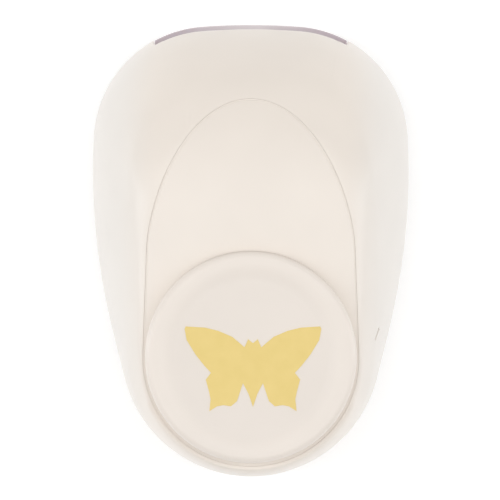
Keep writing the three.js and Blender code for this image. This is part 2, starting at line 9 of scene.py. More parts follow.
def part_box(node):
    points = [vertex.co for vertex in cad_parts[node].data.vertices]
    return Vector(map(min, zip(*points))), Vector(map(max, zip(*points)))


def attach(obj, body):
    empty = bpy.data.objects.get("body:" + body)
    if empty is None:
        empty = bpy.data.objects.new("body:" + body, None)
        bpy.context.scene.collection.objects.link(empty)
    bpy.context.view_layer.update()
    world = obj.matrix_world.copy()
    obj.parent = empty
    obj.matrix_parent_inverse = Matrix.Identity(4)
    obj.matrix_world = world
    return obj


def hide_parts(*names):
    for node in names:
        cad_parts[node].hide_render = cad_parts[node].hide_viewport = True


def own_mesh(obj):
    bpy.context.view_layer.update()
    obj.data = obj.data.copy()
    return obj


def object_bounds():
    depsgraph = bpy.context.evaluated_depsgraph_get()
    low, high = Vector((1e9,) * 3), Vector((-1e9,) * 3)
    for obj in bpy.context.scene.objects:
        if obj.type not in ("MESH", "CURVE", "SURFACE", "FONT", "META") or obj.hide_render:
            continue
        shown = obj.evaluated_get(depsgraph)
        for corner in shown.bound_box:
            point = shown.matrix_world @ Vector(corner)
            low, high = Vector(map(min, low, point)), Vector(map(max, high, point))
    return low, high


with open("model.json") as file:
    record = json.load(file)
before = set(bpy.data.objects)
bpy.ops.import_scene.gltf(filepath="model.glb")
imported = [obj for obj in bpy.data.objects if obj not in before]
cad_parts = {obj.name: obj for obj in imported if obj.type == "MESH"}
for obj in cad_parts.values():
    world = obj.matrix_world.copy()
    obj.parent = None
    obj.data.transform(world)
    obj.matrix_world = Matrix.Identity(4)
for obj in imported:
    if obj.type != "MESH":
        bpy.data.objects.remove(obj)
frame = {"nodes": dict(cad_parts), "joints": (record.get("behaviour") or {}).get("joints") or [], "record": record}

MM = 0.001
cad_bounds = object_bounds()


def box_mm(node):
    """Lowest and highest corner of a CAD node, in millimetres."""
    return tuple(Vector(corner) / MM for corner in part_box(node))


def centre_mm(node):
    low, high = box_mm(node)
    return (low + high) / 2


# ------------------------------------------------------------------ driving dimensions
body_low, body_high = (Vector(corner) / MM for corner in cad_bounds)
base_low, base_high = box_mm("base")
lip_low, lip_high = box_mm("slot_lip")
die_low, die_high = box_mm("die_plate")
pad_high = box_mm("pad_cap")[1]
hinge = next(joint for joint in frame["joints"] if joint["name"] == "lever_hinge")
AXLE_Y, AXLE_Z = hinge["pos_m"][1] / MM, hinge["pos_m"][2] / MM

# Body: sill at the base, crest round the top, crown in the middle of the deck.
FRONT_Y, REAR_Y = body_high.y, body_low.y
SILL_Z = box_mm("housing")[0].z
SLOT_TOP = box_mm("guide_plate")[0].z
SLOT_REAR_Y = 2
CREST_Z = 49.5
CROWN_Z = 51.8
CROWN_Y = 10
WIDEST_HALF = 40
CREST_HALF = 27.2
# The body's level section is four arcs a side; each value goes from the sill's to the crest's.
WIDEST_Y = (20.1, 5)
FRONT_ARC_R = (162, 60)
CORNER_ARC_R = (29.5, 18)
FLANK_ARC_BEND = (1 / 160, 1 / 1500)
HOOD_FALL = 1.7
HOOD_BULGE = 0.35
REAR_LEAN = 2.8
REAR_TUCK = 1.6
WALL = 2
PIECE_GAP = 0.3
MOUTH_HALF = 22.5
MOUTH_TOP = 16
LIP_SETBACK = 2.1
BASE_SETBACK = 0.8
PAD_Y = centre_mm("pad_cap").y
PAD_R = pad_high.x
PAD_TOP = pad_high.z
PAD_SEAT_Z = 49.2
DISH_Z = box_mm("butterfly_print")[0].z
LEVER_TIP_Y = 35.8
LEVER_HALF = 24.4
ARCH_POWER = 1.6
TONGUE_RISE = 0.1
TONGUE_SWELL = 0.3
LEVER_GAP = 0.6
SEAT_CLEARANCE = 0.1
DIE_Y = centre_mm("punch_plate").y


# ------------------------------------------------------------------ mesh helpers
def make_object(name, verts, faces, material, sharp_degrees=32):
    """Mesh object from millimetre points, smooth except where faces meet at more than the angle."""
    mesh = bpy.data.meshes.new(name)
    mesh.from_pydata([Vector(v) * MM for v in verts], [], faces)
    obj = bpy.data.objects.new(name, mesh)
    bpy.context.scene.collection.objects.link(obj)
    mesh.materials.append(material)
    tidy_mesh(obj, sharp_degrees)
    return obj


def tidy_mesh(obj, sharp_degrees):
    """Merges doubled points, turns faces outwards and marks the edges that stay sharp."""
    work = bmesh.new()
    work.from_mesh(obj.data)
    bmesh.ops.remove_doubles(work, verts=work.verts, dist=1e-6)
    bmesh.ops.recalc_face_normals(work, faces=work.faces)
    limit = math.radians(sharp_degrees)
    for edge in work.edges:
        edge.smooth = len(edge.link_faces) == 2 and edge.calc_face_angle(0) < limit
    for face in work.faces:
        face.smooth = True
    work.to_mesh(obj.data)
    work.free()


def join(pieces):
    """One object from several, keeping the first one's name."""
    bpy.ops.object.select_all(action="DESELECT")
    for piece in pieces:
        piece.select_set(True)
    bpy.context.view_layer.objects.active = pieces[0]
    bpy.ops.object.join()
    return pieces[0]


def apply_modifier(obj, kind, **values):
    """Replaces the object's mesh by what one modifier makes of it."""
    modifier = obj.modifiers.new(kind, kind)
    for key, value in values.items():
        setattr(modifier, key, value)
    bpy.context.view_layer.update()
    evaluated = obj.evaluated_get(bpy.context.evaluated_depsgraph_get())
    mesh = bpy.data.meshes.new_from_object(evaluated)
    obj.modifiers.clear()
    obj.data = mesh


def carve(obj, cutters, sharp_degrees=32):
    """Cuts the cutter objects out of obj and removes them."""
    for cutter in cutters:
        apply_modifier(obj, "BOOLEAN", object=cutter, operation="DIFFERENCE", solver="EXACT")
        bpy.data.objects.remove(cutter)
    tidy_mesh(obj, sharp_degrees)


def grid_faces(rows, columns, wrap_rows=False, wrap_columns=False):
    """Quads between neighbouring rows and columns of points listed row by row."""
    faces = []
    for row in range(rows if wrap_rows else rows - 1):
        for column in range(columns if wrap_columns else columns - 1):
            next_row = (row + 1) % rows
            next_column = (column + 1) % columns
            faces.append((row * columns + column, row * columns + next_column,
                          next_row * columns + next_column, next_row * columns + column))
    return faces


def lathe(name, profile, centre, material, steps=96, axis="Z"):
    """Turned piece from (radius, height) points about an axis through centre."""
    verts = []
    for step in range(steps):
        turn = 2 * math.pi * step / steps
        for radius, height in profile:
            across, up = radius * math.cos(turn), radius * math.sin(turn)
            point = (across, up, height) if axis == "Z" else (height, across, up)
            verts.append(Vector(centre) + Vector(point))
    faces = grid_faces(steps, len(profile), wrap_rows=True)
    return make_object(name, verts, faces, material)


def prism(name, outline, low, high, material, chamfer=0.0, sharp_degrees=32):
    """Upright prism over an outline, with its top and bottom edges broken by a small round."""
    levels = [(low, chamfer), (low + chamfer * 0.3, chamfer * 0.3), (low + chamfer, 0),
              (high - chamfer, 0), (high - chamfer * 0.3, chamfer * 0.3), (high, chamfer)]
    if not chamfer:
        levels = [(low, 0), (high, 0)]
    rings = [[(x, y, z) for x, y in offset(outline, -inward)] for z, inward in levels]
    count = len(outline)
    verts = [point for ring in rings for point in ring]
    faces = grid_faces(len(rings), count, wrap_columns=True)
    faces.append(tuple(reversed(range(count))))
    faces.append(tuple((len(rings) - 1) * count + i for i in range(count)))
    return make_object(name, verts, faces, material, sharp_degrees)


def block(name, low, high, material, chamfer=0.0):
    outline = [(low[0], low[1]), (high[0], low[1]), (high[0], high[1]), (low[0], high[1])]
    return prism(name, outline, low[2], high[2], material, chamfer)


def round_outline(x, y, radius, steps=48):
    return [(x + radius * math.cos(2 * math.pi * i / steps), y + radius * math.sin(2 * math.pi * i / steps))
            for i in range(steps)]


def rounded_rectangle(x0, x1, y0, y1, radius, steps=8):
    centres = [(x1 - radius, y1 - radius), (x0 + radius, y1 - radius),
               (x0 + radius, y0 + radius), (x1 - radius, y0 + radius)]
    points = []
    for corner, (x, y) in enumerate(centres):
        for step in range(steps + 1):
            turn = (corner + step / steps) * math.pi / 2
            points.append((x + radius * math.cos(turn), y + radius * math.sin(turn)))
    return points


def offset(outline, distance):
    """Moves each point of an anticlockwise outline outwards by an even distance."""
    if not distance:
        return list(outline)
    moved = []
    for i, point in enumerate(outline):
        here = Vector(point)
        before = here - Vector(outline[i - 1])
        after = Vector(outline[(i + 1) % len(outline)]) - here
        first = Vector((before.y, -before.x)).normalized()
        second = Vector((after.y, -after.x)).normalized()
        middle = (first + second).normalized()
        moved.append(tuple(here + middle * distance / max(middle.dot(first), 0.5)))
    return moved


def mix(a, b, share):
    return a + (b - a) * share


def curve_through(a, corner, b, steps):
    """Points on a quadratic curve from a to b that rounds off the corner between them."""
    points = []
    for step in range(steps + 1):
        t = step / steps
        points.append(a * (1 - t) ** 2 + corner * 2 * t * (1 - t) + b * t ** 2)
    return points


def resample(points, shares):
    """Points at the given shares of a polyline's length."""
    lengths = [0.0]
    for a, b in zip(points, points[1:]):
        lengths.append(lengths[-1] + (b - a).length)
    picked, segment = [], 0
    for share in shares:
        target = share * lengths[-1]
        while segment < len(points) - 2 and lengths[segment + 1] < target:
            segment += 1
        span = lengths[segment + 1] - lengths[segment]
        t = (target - lengths[segment]) / span if span else 0
        picked.append(points[segment].lerp(points[segment + 1], min(max(t, 0), 1)))
    return picked


# ------------------------------------------------------------------ body outline
def body_section(z):
    """Driving values of the body's level section at one height, as in the CAD."""
    rise = min(max((z - SILL_Z) / (CREST_Z - SILL_Z), 0), 1)
    lean = rise ** 2
    hood = rise * (CREST_Z - SILL_Z) / (CROWN_Z - SILL_Z)
    shrink = math.sqrt((CROWN_Z - z) / (CROWN_Z - CREST_Z)) if z > CREST_Z else 1
    return {
        "front": mix(CROWN_Y, CROWN_Y + (FRONT_Y - CROWN_Y) * (1 - hood ** HOOD_FALL) ** HOOD_BULGE, shrink),
        "rear": mix(CROWN_Y, REAR_Y + REAR_LEAN * rise + REAR_TUCK * rise ** 12, shrink),
        "half": shrink * mix(WIDEST_HALF, CREST_HALF, lean),
        "widest": mix(CROWN_Y, mix(*WIDEST_Y, lean), shrink),
        "front_r": shrink * mix(*FRONT_ARC_R, lean),
        "corner_r": shrink * mix(*CORNER_ARC_R, lean),
        "flank_r": shrink / mix(*FLANK_ARC_BEND, lean),
    }


def inset(section, by):
    """The same section with its outline moved inwards by an even distance."""
    moved = {key: value - by for key, value in section.items()}
    moved["rear"] = section["rear"] + by
    moved["widest"] = section["widest"]
    return moved


def egg_arcs(section):
    """Centre, radius and end angles of the four arcs down the right side: front, corner, flank, rear."""
    front = Vector((0, section["front"] - section["front_r"]))
    flank = Vector((section["half"] - section["flank_r"], section["widest"]))
    to_front = section["front_r"] - section["corner_r"]
    to_flank = section["flank_r"] - section["corner_r"]
    span = (flank - front).length
    along = (to_front ** 2 - to_flank ** 2 + span ** 2) / (2 * span)
    across = math.sqrt(to_front ** 2 - along ** 2)
    unit = (flank - front) / span
    corner = front + unit * along + Vector((unit.y, -unit.x)) * across
    drop = section["widest"] - section["rear"]
    rear_r = (flank.x ** 2 + drop ** 2 - section["flank_r"] ** 2) / (2 * (drop - section["flank_r"]))
    rear = Vector((0, section["rear"] + rear_r))
    angles = [math.pi / 2]
    for a, b in ((front, corner), (flank, corner), (flank, rear)):
        angles.append(math.atan2(b.y - a.y, b.x - a.x))
    angles.append(-math.pi / 2)
    centres = [front, corner, flank, rear]
    radii = [section["front_r"], section["corner_r"], section["flank_r"], rear_r]
    return [(centres[i], radii[i], angles[i], angles[i + 1]) for i in range(4)]


def egg_point(arcs, station):
    arc, share, side = station
    centre, radius, start, end = arcs[arc]
    angle = mix(start, end, share)
    return Vector((side * (centre.x + radius * math.cos(angle)), centre.y + radius * math.sin(angle)))


ARC_STEPS = (12, 30, 36, 34)
BREAK_CLEAR = 0.012
BREAK_HALF = 0.0015


def right_stations(breaks=()):
    """(arc, share) places down the right side, with a close pair at each break."""
    places = [(arc, step / steps) for arc, steps in enumerate(ARC_STEPS) for step in range(steps)]
    for arc, share in breaks:
        places = [place for place in places if place[0] != arc or abs(place[1] - share) > BREAK_CLEAR]
        places += [(arc, share - BREAK_HALF), (arc, share + BREAK_HALF)]
    return sorted(places) + [(3, 1.0)]


def both_sides(places):
    """Anticlockwise stations round the whole outline, starting at the rear point."""
    right = [(arc, share, 1) for arc, share in reversed(places)]
    left = [(arc, share, -1) for arc, share in places[1:-1]]
    return right + left


LEVELS = 1200
DECK_BOTTOM = 38.0
UNDER_CROWN = 0.001
level_cache = {}


def level_arcs(step):
    """Arcs of the body's section at one of LEVELS even levels over the deck."""
    if step not in level_cache:
        height = DECK_BOTTOM + (CROWN_Z - UNDER_CROWN - DECK_BOTTOM) * step / LEVELS
        level_cache[step] = egg_arcs(body_section(height))
    return level_cache[step]


def egg_contains(arcs, x, y):
    """Whether a place lies inside a section, judged by the arc that faces it."""
    for centre, radius, start, end in arcs:
        angle = math.atan2(y - centre.y, abs(x) - centre.x)
        if end <= angle <= start:
            return math.hypot(abs(x) - centre.x, y - centre.y) <= radius
    return False


def deck_height(x, y):
    """Height of the housing's outer form over a place on the deck, the hood or the collar."""
    low, high = 0, LEVELS
    while high - low > 1:
        middle = (low + high) // 2
        if egg_contains(level_arcs(middle), x, y):
            low = middle
        else:
            high = middle
    return DECK_BOTTOM + (CROWN_Z - DECK_BOTTOM) * (low + 0.5) / LEVELS


def egg_outline(section):
    arcs = egg_arcs(section)
    return [tuple(egg_point(arcs, station)) for station in both_sides(right_stations())]


def share_where(arc, test):
    """Share along one arc of the sill outline where a test on its point first comes true."""
    arcs = egg_arcs(body_section(SILL_Z))
    for share in [step / 2000 for step in range(2001)]:
        if test(egg_point(arcs, (arc, share, 1))):
            return share
    return 1.0


# ------------------------------------------------------------------ lever outline
def arch_points(steps=48, swell=0.0):
    """Right side of the lever's arch, from its tip to y = 0."""
    tip, half = LEVER_TIP_Y + swell, LEVER_HALF + swell
    rows = [tip * (1 - (step / steps) ** 2) for step in range(steps + 1)]
    return [(half * math.sqrt(1 - (y / tip) ** ARCH_POWER), y) for y in rows]


def lever_outline(pad_y, steps=40):
    """The whole lever from above: the arch, straight sides and a half circle behind the pad."""
    radius = PAD_R + SEAT_CLEARANCE
    right = arch_points() + [(mix(LEVER_HALF, radius, t / 8), mix(0, pad_y, t / 8)) for t in range(1, 8)]
    for step in range(steps + 1):
        angle = step / steps * math.pi / 2
        right.append((radius * math.cos(angle), pad_y - radius * math.sin(angle)))
    right[-1] = (0, pad_y - radius)
    left = [(-x, y) for x, y in right[1:-1]]
    return list(reversed(right)) + left


def inside(outline, x, y):
    """Whether a place lies inside an outline, by counting the edges to its right."""
    odd = False
    for (x0, y0), (x1, y1) in zip(outline, outline[1:] + outline[:1]):
        if (y0 > y) != (y1 > y) and x < (x1 - x0) * (y - y0) / (y1 - y0) + x0:
            odd = not odd
    return odd


# ------------------------------------------------------------------ materials
def new_material(name, **shader_values):
    material = bpy.data.materials.new(name)
    material.use_nodes = True
    shader = material.node_tree.nodes["Principled BSDF"]
    for key, value in shader_values.items():
        shader.inputs[key.replace("_", " ")].default_value = value
    return material


def add_noise(material, scale, detail=3, stretch=(1, 1, 1)):
    """Noise over the object's own coordinates; scale is in waves per metre."""
    nodes, links = material.node_tree.nodes, material.node_tree.links
    coordinates = nodes.new("ShaderNodeTexCoord")
    mapping = nodes.new("ShaderNodeMapping")
    mapping.inputs["Scale"].default_value = stretch
    noise = nodes.new("ShaderNodeTexNoise")
    noise.inputs["Scale"].default_value = scale
    noise.inputs["Detail"].default_value = detail
    links.new(coordinates.outputs["Object"], mapping.inputs["Vector"])
    links.new(mapping.outputs["Vector"], noise.inputs["Vector"])
    return noise.outputs["Fac"]


def tint(material, factor, dark, light):
    """Base colour that drifts between two close shades."""
    nodes, links = material.node_tree.nodes, material.node_tree.links
    ramp = nodes.new("ShaderNodeValToRGB")
    ramp.color_ramp.elements[0].position = 0.3
    ramp.color_ramp.elements[0].color = (*dark, 1)
    ramp.color_ramp.elements[1].position = 0.7
    ramp.color_ramp.elements[1].color = (*light, 1)
    links.new(factor, ramp.inputs["Fac"])
    links.new(ramp.outputs["Color"], material.node_tree.nodes["Principled BSDF"].inputs["Base Color"])


def vary_roughness(material, factor, low, high):
    nodes, links = material.node_tree.nodes, material.node_tree.links
    spread = nodes.new("ShaderNodeMapRange")
    spread.inputs["To Min"].default_value = low
    spread.inputs["To Max"].default_value = high
    links.new(factor, spread.inputs["Value"])
    links.new(spread.outputs["Result"], material.node_tree.nodes["Principled BSDF"].inputs["Roughness"])


def bump(material, factor, height_mm, strength):
    nodes, links = material.node_tree.nodes, material.node_tree.links
    relief = nodes.new("ShaderNodeBump")
    relief.inputs["Strength"].default_value = strength
    relief.inputs["Distance"].default_value = height_mm * MM
    links.new(factor, relief.inputs["Height"])
    links.new(relief.outputs["Normal"], material.node_tree.nodes["Principled BSDF"].inputs["Normal"])


PLAIN = (1, 1, 1)


def scaled(colour, share):
    return tuple(channel * share for channel in colour)


def moulded_plastic(name, colour, roughness, **extra):
    """Glossy moulding: faint clouding of the tint, uneven polish and a soft mould ripple."""
    material = new_material(name, IOR=1.5, **extra)
    tint(material, add_noise(material, 60, 2), scaled(colour, 0.985), scaled(colour, 1.01))
    vary_roughness(material, add_noise(material, 900, 4), roughness * 0.9, roughness * 1.15)
    bump(material, add_noise(material, 1200, 1), 0.01, 0.08)
    return material


def multiply_painted_shading(material, distance, near_m, far_m, near_tone, far_tone):
    """Multiplies the clouding by painted light and shade: a tone that changes softly between two distances."""
    nodes, links = material.node_tree.nodes, material.node_tree.links
    shader = nodes["Principled BSDF"]
    clouds = shader.inputs["Base Color"].links[0].from_socket
    band = nodes.new("ShaderNodeMapRange")
    band.interpolation_type = "SMOOTHSTEP"
    band.inputs["From Min"].default_value = near_m
    band.inputs["From Max"].default_value = far_m
    tones = nodes.new("ShaderNodeValToRGB")
    tones.color_ramp.elements[0].color = (*near_tone, 1)
    tones.color_ramp.elements[1].color = (*far_tone, 1)
    shade = nodes.new("ShaderNodeMix")
    shade.data_type = "RGBA"
    shade.blend_type = "MULTIPLY"
    shade.inputs["Factor"].default_value = 1.0
    links.new(distance, band.inputs["Value"])
    links.new(band.outputs["Result"], tones.inputs["Fac"])
    links.new(clouds, shade.inputs["A"])
    links.new(tones.outputs["Color"], shade.inputs["B"])
    links.new(shade.outputs["Result"], shader.inputs["Base Color"])


def painted_side_shading(material, near_m, far_m, tone):
    """Painted light and shade: a tint that comes in softly away from the middle plane."""
    nodes, links = material.node_tree.nodes, material.node_tree.links
    coordinates = nodes.new("ShaderNodeTexCoord")
    split = nodes.new("ShaderNodeSeparateXYZ")
    distance = nodes.new("ShaderNodeMath")
    distance.operation = "ABSOLUTE"
    links.new(coordinates.outputs["Object"], split.inputs["Vector"])
    links.new(split.outputs["X"], distance.inputs[0])
    multiply_painted_shading(material, distance.outputs["Value"], near_m, far_m, PLAIN, tone)


def painted_dish_shade(material, centre_m, radius_m, spread_m, tone):
    """Painted shade: a tint inside a circle about a vertical axis, with a soft edge."""
    nodes, links = material.node_tree.nodes, material.node_tree.links
    coordinates = nodes.new("ShaderNodeTexCoord")
    flat = nodes.new("ShaderNodeMapping")
    flat.inputs["Location"].default_value = (-centre_m[0], -centre_m[1], 0)
    flat.inputs["Scale"].default_value = (1, 1, 0)
    length = nodes.new("ShaderNodeVectorMath")
    length.operation = "LENGTH"
    links.new(coordinates.outputs["Object"], flat.inputs["Vector"])
    links.new(flat.outputs["Vector"], length.inputs[0])
    multiply_painted_shading(material, length.outputs["Value"], radius_m - spread_m, radius_m + spread_m, tone, PLAIN)


def ground_steel(name, colour, roughness, stretch):
    """Ground metal: fine lines along one axis, with the polish broken by larger clouds."""
    material = new_material(name, Metallic=1.0)
    tint(material, add_noise(material, 500, 3), scaled(colour, 0.9), scaled(colour, 1.06))
    vary_roughness(material, add_noise(material, 3000, 3, stretch), roughness * 0.7, roughness * 1.4)
    bump(material, add_noise(material, 5000, 2, stretch), 0.01, 0.3)
    return material


CREAM = (0.805, 0.73, 0.655)
CREAM_PAD = (0.79, 0.715, 0.645)
cream_shell = moulded_plastic("cream_shell", CREAM, 0.3)
# Painted reflection: the flanks turn cooler and more neutral away from the middle, standing in for the white
# surroundings they mirror.
painted_side_shading(cream_shell, 0.022, 0.033, (0.955, 0.985, 1.015))
cream_pad = moulded_plastic("cream_pad", CREAM_PAD, 0.3)
# Painted shade: the pad's dish is drawn a little darker than its rim.
painted_dish_shade(cream_pad, (0, PAD_Y * MM), 0.0198, 0.0016, (0.965, 0.965, 0.965))
steel = ground_steel("steel", (0.62, 0.63, 0.65), 0.32, (1, 0.04, 1))
dark_steel = ground_steel("dark_steel", (0.36, 0.37, 0.39), 0.4, (1, 1, 0.1))
spring_steel = ground_steel("spring_steel", (0.5, 0.51, 0.53), 0.28, (1, 1, 1))

yellow_print = new_material("yellow_print", IOR=1.5)
tint(yellow_print, add_noise(yellow_print, 260, 3), (0.765, 0.578, 0.192), (0.79, 0.60, 0.21))
vary_roughness(yellow_print, add_noise(yellow_print, 2500, 3), 0.35, 0.55)
bump(yellow_print, add_noise(yellow_print, 6000, 2), 0.01, 0.3)

lilac_lip = new_material("lilac_lip", IOR=1.5)
tint(lilac_lip, add_noise(lilac_lip, 120, 2), (0.80, 0.715, 0.725), (0.84, 0.755, 0.765))
# Painted shade: the lip grows darker towards its ends, where the housing's cut edges shade it.
painted_side_shading(lilac_lip, 0.0, 0.021, (0.74, 0.70, 0.74))
vary_roughness(lilac_lip, add_noise(lilac_lip, 900, 3), 0.12, 0.22)
bump(lilac_lip, add_noise(lilac_lip, 1600, 2), 0.01, 0.1)

black_rubber = new_material("black_rubber", IOR=1.45)
tint(black_rubber, add_noise(black_rubber, 400, 4), (0.02, 0.02, 0.021), (0.032, 0.032, 0.033))
vary_roughness(black_rubber, add_noise(black_rubber, 1200, 4), 0.75, 0.95)
bump(black_rubber, add_noise(black_rubber, 4000, 4), 0.05, 0.6)

black_plastic = new_material("black_plastic", IOR=1.5)
tint(black_plastic, add_noise(black_plastic, 300, 4), (0.024, 0.024, 0.026), (0.035, 0.035, 0.037))
vary_roughness(black_plastic, add_noise(black_plastic, 1800, 4), 0.4, 0.6)
bump(black_plastic, add_noise(black_plastic, 5000, 3), 0.03, 0.5)


# ------------------------------------------------------------------ housing
WALL_ROWS = 60
DECK_ROWS = 30
DECK_REACH = 0.72
HALVINGS = 14


def outer_curve(station):
    """The housing's outer form at one station, from the sill over the crest to the middle of the deck."""
    wall = [mix(SILL_Z, CREST_Z, 1 - (1 - i / WALL_ROWS) ** 1.5) for i in range(WALL_ROWS + 1)]
    deck = [mix(CREST_Z, CROWN_Z, 1 - (1 - DECK_REACH * i / DECK_ROWS) ** 2) for i in range(1, DECK_ROWS + 1)]
    points = []
    for z in wall + deck:
        place = egg_point(egg_arcs(body_section(z)), station)
        points.append(Vector((place.x, place.y, z)))
    return points, len(wall) - 1


def cut_at_opening(points, opening):
    """The part of a curve that lies outside the opening's outline."""
    for i, point in enumerate(points):
        if inside(opening, point.x, point.y):
            outer, inner = points[i - 1], point
            for _ in range(HALVINGS):
                middle = (outer + inner) / 2
                if inside(opening, middle.x, middle.y):
                    inner = middle
                else:
                    outer = middle
            return points[:i] + [outer]
    return points


def along_from(points, start, distance):
    """Point at a distance along a polyline from one of its ends or corners, and the index after it."""
    step = 1 if distance > 0 else -1
    left, i = abs(distance), start
    while 0 <= i + step < len(points):
        span = (points[i + step] - points[i]).length
        if span >= left:
            return points[i].lerp(points[i + step], left / span), i + step
        left -= span
        i += step
    return points[i], i


def soften(points, corner, reach_before, reach_after):
    """Rounds a corner of a polyline over the given lengths before and after it."""
    before, i = along_from(points, corner, -reach_before)
    after, j = along_from(points, corner, reach_after)
    return points[:i + 1] + curve_through(before, points[corner], after, 8) + points[j:]


OUTER_ROWS = [(i / 46) ** 0.9 for i in range(47)]
EDGE_ROUND = 0.16
RIDGE_OUTSIDE = 8.0
RIDGE_INSIDE = 4.0
RIM_DEPTH = 1.9
RIM_DRAFT = 0.35
INNER_LEVELS = (41.5, 38, 34, 29, 24, 18)
INNER_FOOT = 0.4
SILL_STEP = 0.05


def sill_height(place):
    """Lower edge of the housing: raised over the mouth, and over the slot's sides."""
    if abs(place.x) < MOUTH_HALF and place.y > 0:
        return MOUTH_TOP
    return SLOT_TOP if place.y > SLOT_REAR_Y else SILL_Z


def upper_curve(station, opening):
    """The outer form up to the opening, with the crest rounded off."""
    points, ridge = outer_curve(station)
    whole = cut_at_opening(points, opening)
    if ridge < len(whole) - 2:
        land = sum((b - a).length for a, b in zip(whole[ridge:], whole[ridge + 1:]))
        whole = soften(whole, ridge, RIDGE_OUTSIDE, min(RIDGE_INSIDE, land * 0.75))
    return whole


def housing_edges():
    """Points round the opening's edge, one for each station."""
    opening = seam_outline()
    return [upper_curve(station, opening)[-1] for station in both_sides(right_stations())]


def housing_section(station, opening):
    """Closed section of the housing wall at one station."""
    foot = egg_point(egg_arcs(body_section(SILL_Z)), station)
    whole = upper_curve(station, opening)
    if foot.y > 0 and abs(foot.x) < lip_high.x + PIECE_GAP:
        face = egg_point(egg_arcs(inset(body_section(SILL_Z), LIP_SETBACK)), station)
        whole = [Vector((face.x, face.y, p.z)) if p.y > face.y else p for p in whole]
    sill = sill_height(foot)
    first = next(i for i, p in enumerate(whole) if p.z > sill + SILL_STEP)
    above = [p for p in whole if p.z > sill + SILL_STEP]
    start = whole[max(first - 1, 0)].copy()
    start.z = sill
    outer = resample([start] + above, OUTER_ROWS)
    edge = outer[-1]
    lip_start, _ = along_from(outer, len(outer) - 1, -EDGE_ROUND)
    outer = [p for p in outer[:-1] if (p - edge).length > EDGE_ROUND * 1.05]
    while len(outer) < len(OUTER_ROWS) - 1:
        outer.append(lip_start)
    down = edge - Vector((0, 0, EDGE_ROUND))
    rounded = curve_through(lip_start, edge, down, 5)
    away = (Vector((foot.x, foot.y, 0)) - Vector((edge.x, edge.y, 0))).normalized()
    wall_foot = edge + away * RIM_DRAFT - Vector((0, 0, RIM_DEPTH))
    inner = [wall_foot]
    for z in INNER_LEVELS + (sill + INNER_FOOT,):
        place = egg_point(egg_arcs(inset(body_section(z + WALL), WALL)), station)
        inner.append(Vector((place.x, place.y, max(z, sill + INNER_FOOT))))
    bottom = Vector((inner[-1].x, inner[-1].y, sill))
    under = bottom.lerp(outer[0], 0.15)
    return outer + rounded + inner + [bottom, under]


def seam_outline():
    """Inner edge of the housing's opening: close to the lever along the arch, wider behind the pad."""
    return offset(lever_outline(PAD_Y - 0.4), LEVER_GAP)


def make_housing():
    breaks = [
        (1, share_where(1, lambda p: p.x > MOUTH_HALF)),
        (1, share_where(1, lambda p: p.x > lip_high.x + PIECE_GAP)),
        (2, share_where(2, lambda p: p.y < SLOT_REAR_Y)),
    ]
    stations = both_sides(right_stations(breaks))
    opening = seam_outline()
    sections = [housing_section(station, opening) for station in stations]
    width = len(sections[0])
    verts = [point for section in sections for point in section]
    faces = grid_faces(len(sections), width, wrap_rows=True, wrap_columns=True)
    shell = make_object("housing_shell", verts, faces, cream_shell)
    carve(shell, [flank_slit()])
    return shell


SLIT_TURN = 1.207
SLIT_SLOPE = 0.668
SLIT_CENTRE = (30.67, -20.36, 41.3)
SLIT_LOW, SLIT_HIGH = (-1.9, -0.2, -0.5), (1.9, 0.2, 1.5)


def flank_slit():
    """Short shallow slit in the right flank, beside the pad; it follows the flank's slope."""
    slit = block("slit", SLIT_LOW, SLIT_HIGH, cream_shell)
    turn = Matrix.Rotation(SLIT_TURN, 4, "Z") @ Matrix.Rotation(SLIT_SLOPE, 4, "Y")
    slit.data.transform(Matrix.Translation(Vector(SLIT_CENTRE) * MM) @ turn)
    return slit


# ------------------------------------------------------------------ lever
# Tongue and pad seat, the thin ledge (flange) in the seam, and the nose, hub, arms and stop wings below.
SKIRT_Z = 41.5
TONGUE_ROUND = 0.28
TONGUE_THICK = 2.4
SEAT_FILLET = 0.3
SEAT_GAP = 0.015
SEAT_THICK = 2.2
FLANGE_GAP = 0.03
FLANGE_REACH = 1.8
FLANGE_DROP = 0.07
FLANGE_THICK = 0.8
NOSE_R = 4
NOSE_HALF = 6
NOSE_TOP = 48.5
HUB_R = 3.6
HUB_HALF = 10.7
ARM_X = 8.5
ARM_HALF = 1.25
WING_X = 20.5
WING_HALF = 2.5
WING_Y = (14, 20)
WING_Z = (42.4, 47.3)


def back_height(x, y):
    """Top of the lever: it carries the housing's deck on, level with it at the arch tip."""
    return deck_height(x, y) + mix(TONGUE_RISE, 0, min(max(y / LEVER_TIP_Y, 0), 1))


def tongue_section(outer, seat, wall):
    """Closed section of the lever from its outer edge to the pad's seat."""
    top = back_height(outer.x, outer.y)
    width = (seat - outer).length
    edge_round = min(TONGUE_ROUND, width * 0.3)
    inward = (seat - outer).normalized() if width > 1e-6 else Vector((0, 0))
    near = outer + inward * edge_round
    shoulder = Vector((near.x, near.y, back_height(near.x, near.y)))
    corner = Vector((outer.x, outer.y, top))
    side = Vector((outer.x, outer.y, top - edge_round))
    section = [Vector((outer.x, outer.y, SKIRT_Z)), Vector((outer.x, outer.y, mix(SKIRT_Z, side.z, 0.5)))]
    section += curve_through(side, corner, shoulder, 6)
    fillet = min(SEAT_FILLET, width * 0.2)
    far = seat - inward * fillet
    for step in range(1, 15):
        place = near.lerp(far, step / 14)
        section.append(Vector((place.x, place.y, back_height(place.x, place.y))))
    seat_top = back_height(seat.x, seat.y)
    section += curve_through(section[-1], Vector((seat.x, seat.y, seat_top)),
                             Vector((seat.x, seat.y, seat_top + fillet)), 5)[1:]
    section.append(Vector((seat.x, seat.y, PAD_SEAT_Z - 1)))
    section.append(Vector((*wall, min(top, seat_top) - TONGUE_THICK)))
    section.append(Vector((*wall, SKIRT_Z)))
    return section


